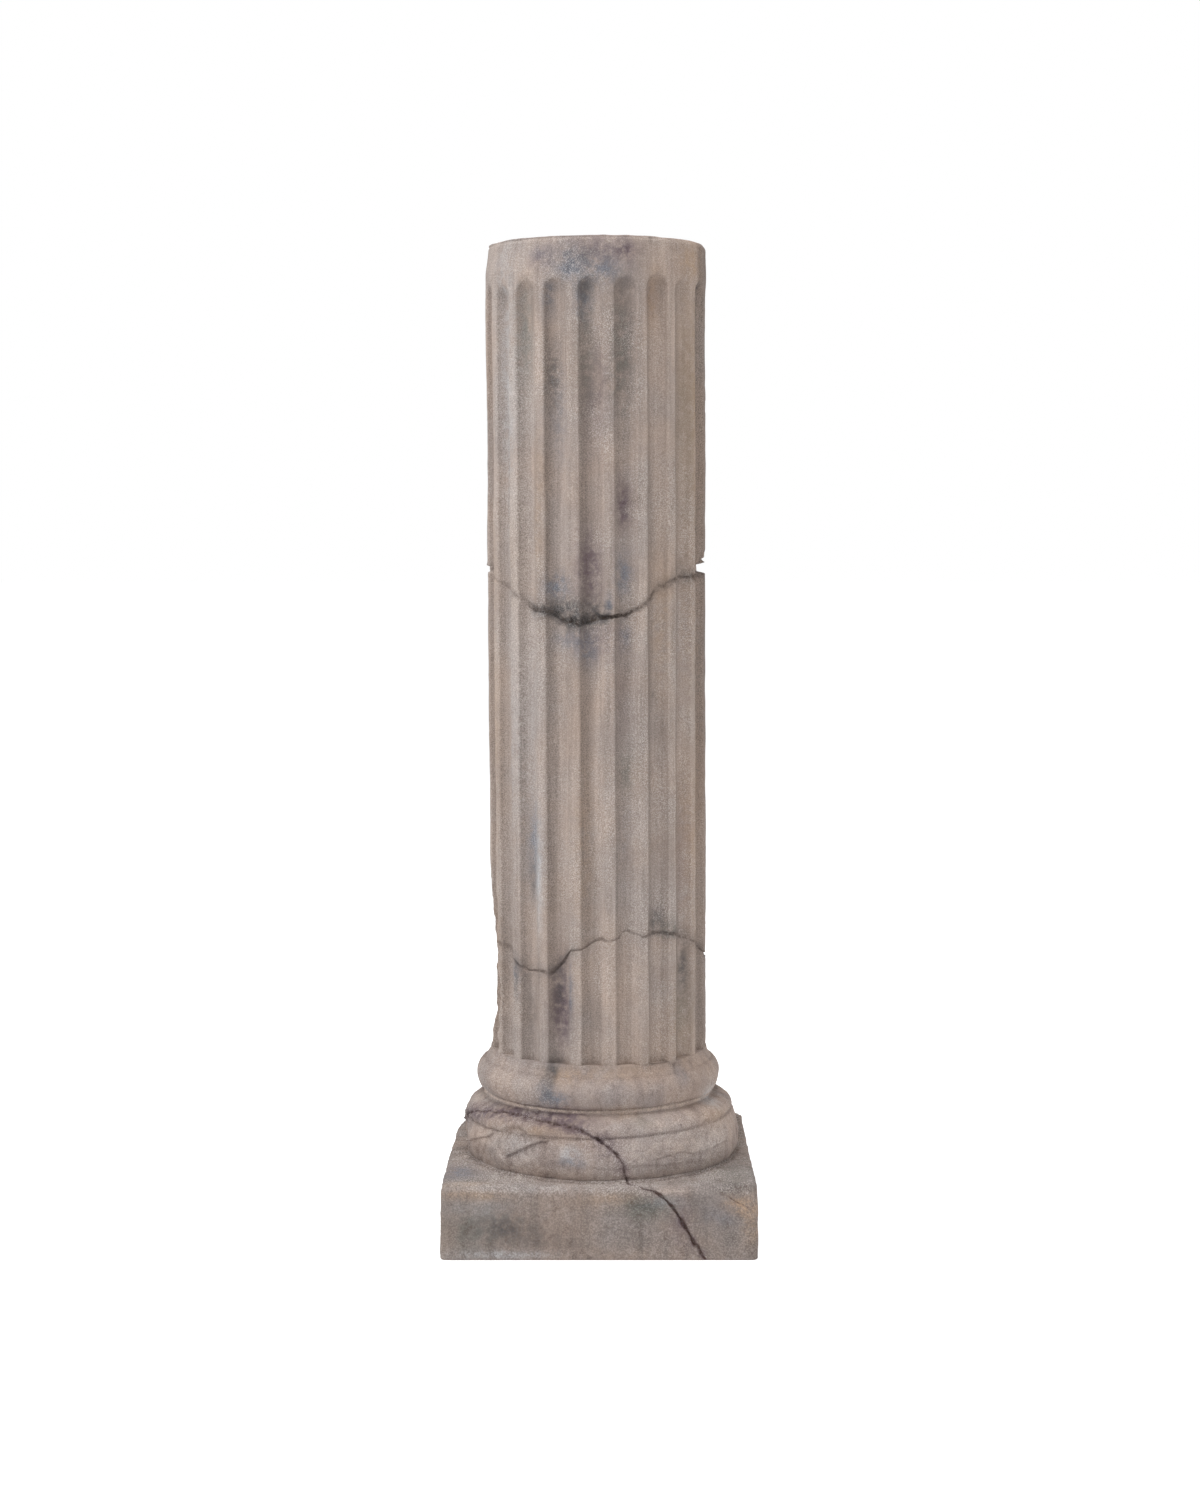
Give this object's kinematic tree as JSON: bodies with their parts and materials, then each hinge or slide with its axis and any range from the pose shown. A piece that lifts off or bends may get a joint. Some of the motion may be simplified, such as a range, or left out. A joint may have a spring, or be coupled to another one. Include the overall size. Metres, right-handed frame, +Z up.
{
  "type": "column pedestal",
  "caption": "Freestanding fluted column pedestal with a square plinth and moulded base, cast to look like a cracked stone ruin, flat on top to hold a bust or urn.",
  "frame": {"origin": "the middle of the plinth's underside, on the floor", "axes": "+Z up along the shaft, -Y towards the viewer of the picture's front side, +X to that viewer's right, square to the plinth's sides"},
  "size_m": [0.33, 0.33, 1.053],
  "materials": {
    "stone": "matt, sandy, weathered cast stone: taupe with a pale scumble, grey-blue and brown stains, dark cracks"
  },
  "bodies": {
    "root": {"column": "stone"}
  },
  "joints": []
}
